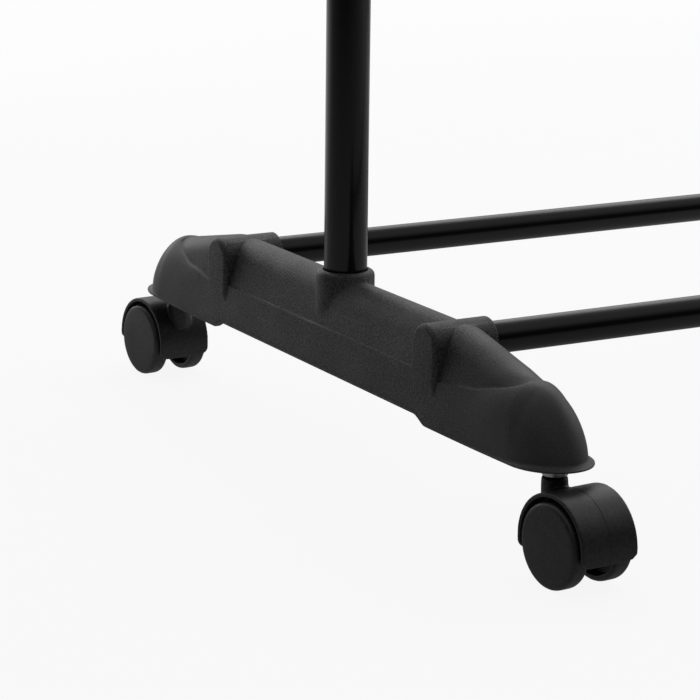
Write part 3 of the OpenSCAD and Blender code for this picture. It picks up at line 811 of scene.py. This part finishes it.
# Moulded nylon: black with a low sheen, a fine pebbled skin and a slight mottle.
# The mottle is drawn at 1.6 mm, coarser than the real one, so that it shows.
pebble_w, mottle_w, flow_w = 0.7, 1.6, 14
nylon = new_finish("moulded_black_nylon")
tree = nylon.node_tree
at = put(tree, "ShaderNodeTexCoord").outputs["Object"]
pebble = put(
    tree, "ShaderNodeTexNoise", {"Vector": at, "Scale": 1 / (pebble_w * MM), "Detail": 2.0}
)
mottle = put(
    tree, "ShaderNodeTexNoise",
    {"Vector": at, "Scale": 1 / (mottle_w * MM), "Detail": 3.0, "Roughness": 0.65},
)
flow = put(tree, "ShaderNodeTexNoise", {"Vector": at, "Scale": 1 / (flow_w * MM), "Detail": 2.0})
cloudy = put(
    tree, "ShaderNodeMapRange",
    {
        "Value": mottle.outputs["Fac"],
        "From Min": 0.34, "From Max": 0.66, "To Min": 0.0, "To Max": 1.0,
    },
)
tone = put(
    tree, "ShaderNodeMix",
    {"Factor": cloudy.outputs["Result"], "A": linear("#151517"), "B": linear("#2f2f31")},
    data_type="RGBA",
)
gloss = put(
    tree, "ShaderNodeMapRange",
    {
        "Value": flow.outputs["Fac"],
        "From Min": 0.3, "From Max": 0.7, "To Min": 0.40, "To Max": 0.50,
    },
)
bumps = put(
    tree, "ShaderNodeBump",
    {"Height": pebble.outputs["Fac"], "Strength": 0.25, "Distance": 0.00006},
)
skin = put(
    tree, "ShaderNodeBsdfPrincipled",
    {
        "Base Color": tone.outputs["Result"], "Roughness": gloss.outputs["Result"],
        "Normal": bumps.outputs[0], "IOR": 1.53,
    },
)
put(tree, "ShaderNodeOutputMaterial", {"Surface": skin.outputs[0]})


def sector(profile, start, sweep, steps):
    """A closed profile of radius and width swept round the axle, its ends capped."""
    made = bmesh.new()
    ring = [
        made.verts.new((x * MM, r * MM * math.cos(start), r * MM * math.sin(start)))
        for r, x in profile
    ]
    cap = made.faces.new(ring)
    bmesh.ops.spin(
        made, geom=[cap], cent=(0, 0, 0), axis=(1, 0, 0), angle=sweep, steps=steps
    )
    bmesh.ops.recalc_face_normals(made, faces=made.faces)
    bmesh.ops.transform(made, matrix=at_axle, verts=made.verts)
    return made


def soften(shape, verts, rounds):
    """Rounds off the vertices, a little more with each round."""
    for _ in range(rounds):
        bmesh.ops.smooth_vert(
            shape, verts=verts, factor=0.5, use_axis_x=True, use_axis_y=True, use_axis_z=True
        )


def remeshed(shape, voxel):
    """The shape with an even skin of small faces."""
    rough = bpy.data.objects.new("rough", bpy.data.meshes.new("rough"))
    shape.to_mesh(rough.data)
    shape.free()
    bpy.context.scene.collection.objects.link(rough)
    even = rough.modifiers.new("even", "REMESH")
    even.mode, even.voxel_size = "VOXEL", voxel * MM
    done = rough.evaluated_get(bpy.context.evaluated_depsgraph_get())
    shape = bmesh.new()
    shape.from_mesh(done.data)
    data = rough.data
    bpy.data.objects.remove(rough)
    bpy.data.meshes.remove(data)
    return shape


def hood():
    """The moulding as one skin: its parts are joined, softened and then bored."""
    under = hood_r - hood_t
    cover = sector([
        (under, -hood_w / 2), (hood_r, -hood_w / 2), (hood_r, hood_w / 2), (under, hood_w / 2)
    ], hood_low, hood_sweep, 240)
    # The cover's four corners are rounded
    for vert in cover.verts:
        angle = math.atan2(vert.co.z / MM - axle_z, vert.co.y / MM - trail) % (2 * math.pi)
        angle -= 2 * math.pi if angle > 1.5 * math.pi else 0
        from_end = max(0, min(angle - hood_low, hood_low + hood_sweep - angle))
        short = max(0, corner_r - hood_r * from_end)
        trim = corner_r - math.sqrt(corner_r ** 2 - short ** 2)
        vert.co.x -= math.copysign(trim, vert.co.x) * MM
    web = sector([
        (0.4, -half_web), (hood_r - 1, -half_web), (hood_r - 1, half_web), (0.4, half_web)
    ], hood_low + 0.01, hood_sweep - 0.02, 90)
    hub = lathe(
        [(0, -hub_half), (hub_r, -hub_half), (hub_r, hub_half), (0, hub_half)],
        48, at_axle @ Matrix.Rotation(math.pi / 2, 4, "Y"),
    )
    boss = lathe([
        (0, stem_low - 2.5), (6.0, stem_low - 2.5), (6.3, boss_z - 2), (6.1, boss_z - 1),
        (5.4, boss_z - 0.2), (4.6, boss_z), (0, boss_z),
    ])
    whole = remeshed(carve(cover, web, hub, boss, operation="UNION"), 0.42)
    soften(whole, whole.verts, 3)
    # A wide fillet where the boss stands on the cover
    fillet = [
        v for v in whole.verts
        if 4.4 < math.hypot(v.co.x, v.co.y) / MM < 9.5 and 30 < v.co.z / MM < 45.1
        and math.hypot(v.co.y / MM - trail, v.co.z / MM - axle_z) > hood_r - 1.2
    ]
    soften(whole, fillet, 40)
    # The mould's parting line runs over the cover's middle, fainter low down
    flash, faint = (
        [(hood_r - deep, -0.13), (hood_r + 1, -0.22), (hood_r + 1, 0.22), (hood_r - deep, 0.13)]
        for deep in (0.22, 0.07)
    )
    return carve(
        whole, sector(faint, hood_low - 0.1, math.radians(60), 45),
        sector(flash, hood_low + math.radians(45), math.radians(75), 55),
        rod(stem_d + 0.12, (0, 0, stem_low - 1), (0, 0, stem_top + 5)),
        rod(axle_d + 0.06, (-20, trail, axle_z), (20, trail, axle_z), 48),
    )


cover = hood()
for end, side in castors:
    copy = cover.copy()
    bmesh.ops.transform(copy, matrix=castor_place(end, side), verts=copy.verts)
    name = castor_name(end, side)
    piece(
        f"castor_{name}_hood", copy, nylon, f"castor_{name}", "castor_plastic", f"hood_{name}",
        sharp=60,
    )
cover.free()

# Wheels. Black nylon, two to a castor on one steel axle, dished on the inside
# and closed on the outside by a plain, slightly crowned face.
r, w, bore = wheel_d / 2, wheel_w, axle_d / 2 + 0.06
wheel_face = [
    (0, w), (8, w - 0.05), (14, w - 0.16), (17, w - 0.28), (18, w - 0.36), (18.6, w - 0.5),
    (19.1, w - 0.75), (19.5, w - 1.1), (19.8, w - 1.6), (19.95, w - 2.2),
]
wheel_tread = [(r, w - 3), (r, 2.2), (19.9, 1.2), (19.65, 0.55), (19.2, 0.15), (18.7, 0)]
wheel_dish = [
    (17.5, 0), (17.2, 0.25), (17.0, 4.6), (16.6, 5.3), (15.9, 5.6), (7, 5.95), (5.6, 5.9),
    (5.1, 5.4),
]
wheel_hub = [(5.0, 4.6), (5.0, 0.4), (4.6, 0), (2.9, 0), (bore, 0.3), (bore, 6.8), (0, 6.8)]
for end, side in castors:
    name = castor_name(end, side)
    for face in (-1, 1):
        away = face * side * (-1 if end < 0 else 1)
        hand = "outer" if away > 0 else "inner"
        place = castor_place(end, side) @ Matrix.Translation((face * hub_x * MM, 0, 0)) @ at_axle
        disc = lathe(
            wheel_face + wheel_tread + wheel_dish + wheel_hub, 96,
            place @ Matrix.Rotation(face * math.pi / 2, 4, "Y"),
        )
        piece(
            f"castor_{name}_wheel_{hand}", disc, nylon, f"wheel_{name}_{hand}", "castor_plastic",
            f"wheel_{name}_{hand}", sharp=50,
        )

# Collets. A black nylon sleeve pressed on the top of each upright, with split
# fingers that the lock nut squeezes on the riser.
nut_d, nut_h, nut_z = 35.0, 56.0, upright_top - 26
riser_d, skirt, finger_h, half_slit = 19.0, 34.0, 22.0, 0.8
collet_r, collet_low, brim_r = upright_d / 2 + 2.4, upright_top - skirt, nut_d / 2 - 1.5
grip, bore, finger_tip = riser_d / 2 + 0.06, upright_d / 2 + 0.03, riser_d / 2 + 1.6
for side, hand in ((-1, "left"), (1, "right")):
    sleeve = lathe([
        (bore, collet_low + 0.4), (bore + 0.4, collet_low), (brim_r - 1, collet_low),
        (brim_r - 0.3, collet_low + 0.3), (brim_r, collet_low + 1),
        (brim_r, collet_low + 3.4), (brim_r - 0.6, collet_low + 4),
        (collet_r, collet_low + 4), (collet_r, upright_top + 4),
        (finger_tip, upright_top + finger_h), (grip, upright_top + finger_h),
        (grip, upright_top), (bore, upright_top),
    ], 72)
    for turn in (45, 135):
        slit = block((-30, -half_slit, upright_top + 5), (30, half_slit, upright_top + 40))
        slant = Matrix.Rotation(math.radians(turn), 3, "Z")
        bmesh.ops.rotate(slit, verts=slit.verts, matrix=slant)
        sleeve = carve(sleeve, slit)
    bmesh.ops.translate(sleeve, verts=sleeve.verts, vec=(side * span / 2 * MM, 0, 0))
    piece(f"collet_{hand}_sleeve", sleeve, nylon, "base", "castor_plastic", f"collet_{hand}")

# Lock nuts. Black nylon grips that turn on the collets, with twelve shallow
# flutes that run out before the rounded ends.
flutes, spokes, flute_deep = 12, 144, 1.4
nut_r, nut_top, cone_top = nut_d / 2, nut_z + nut_h, upright_top + finger_h
inner_r, mouth, cone_r = collet_r + 0.3, riser_d / 2 + 0.8, riser_d / 2 + 1.9
# Radius, height and depth of the flutes at each level, round the wall's section
nut_levels = [
    (inner_r, nut_z + 0.5, 0), (inner_r + 0.5, nut_z, 0), (nut_r - 0.9, nut_z, 0),
    (nut_r - 0.3, nut_z + 0.3, 0), (nut_r, nut_z + 1, 0), (nut_r, nut_z + 4.5, 0),
    (nut_r, nut_z + 5.6, 0.35), (nut_r, nut_z + 7, 0.8), (nut_r, nut_z + 9, 1),
    (nut_r, nut_z + 40, 1), (nut_r, nut_z + 42.5, 0.8), (nut_r, nut_z + 44, 0.35),
    (nut_r, nut_z + 45.2, 0), (nut_r, nut_top - 7, 0), (nut_r - 0.4, nut_top - 5.2, 0),
    (nut_r - 2.2, nut_top - 1.4, 0), (nut_r - 3.2, nut_top - 0.3, 0), (nut_r - 4.2, nut_top, 0),
    (mouth + 0.6, nut_top, 0), (mouth, nut_top - 0.6, 0), (mouth, cone_top + 1, 0),
    (cone_r, cone_top + 1, 0), (cone_r, cone_top, 0), (inner_r, upright_top + 4, 0),
]


def loop_edges(shape, rings):
    """The edges of each ring of vertices."""
    shape.edges.ensure_lookup_table()
    return [
        [e for e in shape.edges if e.verts[0] in chosen and e.verts[1] in chosen]
        for chosen in map(set, rings)
    ]


for side, hand in ((-1, "left"), (1, "right")):
    nut = bmesh.new()
    rings = []
    for r, z, depth in nut_levels:
        ring = bmesh.ops.create_circle(nut, cap_ends=False, segments=spokes, radius=r * MM)["verts"]
        for k, vert in enumerate(ring):
            wave = max(0.0, math.cos(2 * math.pi * flutes * k / spokes)) ** 1.3
            vert.co *= 1 - depth * flute_deep * wave / r
            vert.co.z = z * MM
        rings.append(ring)
    loops = loop_edges(nut, rings)
    for below, above in zip(loops, loops[1:] + loops[:1]):
        bmesh.ops.bridge_loops(nut, edges=below + above)
    bmesh.ops.recalc_face_normals(nut, faces=nut.faces)
    bmesh.ops.translate(nut, verts=nut.verts, vec=(side * span / 2 * MM, 0, 0))
    piece(f"lock_nut_{hand}_grip", nut, nylon, f"lock_{hand}", "castor_plastic", f"lock_nut_{hand}")

# Risers. Thinner coated tubes that slide in the uprights; each has a white
# acetal guide bush plugged into its lower end.
rail_h, bend_r, elbow_depth, riser_l = 1480.0, 32.0, 35.0, 780.0
stop = 3  # solid plastic between each tube's end and the elbow's bend
riser_z = rail_h - bend_r - stop
riser_low, bush_l, plug_l = riser_z - riser_l, 12, 20

# Moulded acetal: smooth and a little creamy, with faint clouds, 8 mm across,
# where it flowed into the mould.
cloud_w = 8
acetal = new_finish("white_acetal")
tree = acetal.node_tree
at = put(tree, "ShaderNodeTexCoord").outputs["Object"]
flow = put(tree, "ShaderNodeTexNoise", {"Vector": at, "Scale": 1 / (cloud_w * MM), "Detail": 2.0})
tone = put(
    tree, "ShaderNodeMix",
    {"Factor": flow.outputs["Fac"], "A": linear("#d5d3cc"), "B": linear("#e6e4de")},
    data_type="RGBA",
)
skin = put(
    tree, "ShaderNodeBsdfPrincipled",
    {"Base Color": tone.outputs["Result"], "Roughness": 0.36, "IOR": 1.48},
)
put(tree, "ShaderNodeOutputMaterial", {"Surface": skin.outputs[0]})

guide, inside = upright_d / 2 - tube_t - 0.06, riser_d / 2 - tube_t
plug, hole = inside - 0.03, inside - 2
for side, hand in ((-1, "left"), (1, "right")):
    x = side * span / 2
    bar = tube(riser_d, (x, 0, riser_low), (x, 0, riser_z))
    piece(f"riser_{hand}_tube", bar, powder_coat, "upper_frame", "tube_paint", f"riser_{hand}")
    bush = lathe([
        (hole, riser_low - bush_l), (guide - 0.6, riser_low - bush_l),
        (guide, riser_low - bush_l + 0.6), (guide, riser_low - 0.4), (guide - 0.4, riser_low),
        (plug, riser_low), (plug, riser_low + plug_l - 0.6), (plug - 0.6, riser_low + plug_l),
        (hole, riser_low + plug_l),
    ], 48, Matrix.Translation((x * MM, 0, 0)))
    piece(
        f"riser_{hand}_bush", bush, acetal, "upper_frame", "bush_plastic", f"riser_bush_{hand}"
    )

# Hanging rail. The same tube as the risers, held in an elbow at each end.
hang_x = span / 2 - bend_r - stop
bar = tube(riser_d, (-hang_x, 0, rail_h), (hang_x, 0, rail_h))
piece("hanging_rail_tube", bar, powder_coat, "upper_frame", "tube_paint", "hanging_rail")

# Elbows. Grained polypropylene bends that the risers and the hanging rail push
# into, with a rounded band round each mouth and a screw from the inside.
elbow_r, band_h, screw_in = riser_d / 2 + 4, 0.45, 12
leg_z = riser_z - elbow_depth
arm_x = bend_r + elbow_depth + stop
leg_levels = (leg_z, leg_z + 0.3, leg_z + 1, leg_z + 3, leg_z + 8, leg_z + 9, riser_z)
arm_levels = (bend_r + stop, arm_x - 9, arm_x - 8, arm_x - 3, arm_x - 1, arm_x - 0.3, arm_x)
band_trim = (-0.9, -0.35, 0, 0, 0)
path = [(Vector((0, 0, z)), 0.0) for z in leg_levels]
for t in (math.radians(90 * k / 24) for k in range(25)):
    centre = Vector((bend_r - bend_r * math.cos(t), 0, rail_h - bend_r + bend_r * math.sin(t)))
    path.append((centre, t))
path += [(Vector((x, 0, rail_h)), math.pi / 2) for x in arm_levels]
trims = list(band_trim) + [-band_h] * (len(path) - 2 * len(band_trim)) + list(band_trim[::-1])
for side, hand in ((-1, "left"), (1, "right")):
    elbow = bmesh.new()
    rings = [
        bmesh.ops.create_circle(
            elbow, cap_ends=False, segments=72, radius=(elbow_r + trim) * MM,
            matrix=Matrix.Translation(centre * MM) @ Matrix.Rotation(t, 4, "Y"),
        )["verts"]
        for (centre, t), trim in zip(path, trims)
    ]
    loops = loop_edges(elbow, rings)
    for below, above in zip(loops, loops[1:]):
        bmesh.ops.bridge_loops(elbow, edges=below + above)
    for edges in (loops[0], loops[-1]):
        bmesh.ops.holes_fill(elbow, edges=edges, sides=0)
    bmesh.ops.recalc_face_normals(elbow, faces=elbow.faces)
    bore, hole = riser_d + 2 * gap, screw_d + 0.2
    low, far = leg_z + screw_in, arm_x - screw_in
    elbow = carve(
        elbow, rod(bore, (0, 0, leg_z - 5), (0, 0, riser_z + gap)),
        rod(bore, (bend_r + stop - gap, 0, rail_h), (arm_x + 5, 0, rail_h)),
        rod(hole, (0, 0, low), (elbow_r + 2, 0, low), 24),
        rod(hole, (far, 0, rail_h - elbow_r - 2), (far, 0, rail_h), 24),
    )
    place = Matrix.Translation((side * span / 2 * MM, 0, 0))
    if side > 0:
        place = place @ Matrix.Rotation(math.pi, 4, "Z")
    bmesh.ops.transform(elbow, matrix=place, verts=elbow.verts)
    piece(
        f"elbow_{hand}_moulding", elbow, polypropylene, "upper_frame", "foot_plastic",
        f"elbow_{hand}",
    )

# Fasteners. Zinc-plated pan heads with a cross recess hold the elbows and the
# bottom rails; bolts, washers, plugs, axles and stem rings are the same metal.
shank_l, recess_l, recess_w, recess_z = 8, 1.9, 0.35, -1.3


def pan_screw(point, way):
    """A pan-head screw, its head's seat at a point and its shank along a direction."""
    r = screw_d / 2
    head = lathe([
        (0, -2.5), (1.4, -2.46), (2.4, -2.25), (3.1, -1.8), (3.45, -1.2), (3.5, -0.5), (3.4, 0),
        (r, 0), (r, shank_l - 1), (r - 0.7, shank_l), (0, shank_l),
    ], 40)
    head = carve(
        head, block((-recess_l, -recess_w, -4), (recess_l, recess_w, recess_z)),
        block((-recess_w, -recess_l, -4), (recess_w, recess_l, recess_z)),
    )
    turn = Vector(way).to_track_quat("Z", "Y").to_matrix().to_4x4()
    place = Matrix.Translation(Vector(point) * MM) @ turn
    bmesh.ops.transform(head, matrix=place, verts=head.verts)
    return head


def joined(shapes):
    """Several shapes in one mesh."""
    whole = bmesh.new()
    for shape in shapes:
        data = bpy.data.meshes.new("joined")
        shape.to_mesh(data)
        shape.free()
        whole.from_mesh(data)
        bpy.data.meshes.remove(data)
    return whole


screws = joined(
    pan_screw((x * (span / 2 - screw_x), y * rail_y, pad_z), (0, 0, 1))
    for x in (-1, 1) for y in (-1, 1)
)
piece("rail_screws_zinc", screws, zinc, "base", "bright_steel", "rail_screws")
screws = joined(
    pan_screw(*spec) for x in (-1, 1) for spec in (
        ((x * (span / 2 - elbow_r), 0, leg_z + screw_in), (x, 0, 0)),
        ((x * (span / 2 - arm_x + screw_in), 0, rail_h - elbow_r), (0, 0, 1)),
    )
)
piece("elbow_screws_zinc", screws, zinc, "upper_frame", "bright_steel", "elbow_screws")
plain_metal = ("upright_plugs", "upright_bolts", "upright_washers", "stem_rings", "axle_")
for name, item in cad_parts.items():
    if name.startswith(plain_metal):
        item.data.materials.clear()
        item.data.materials.append(zinc)
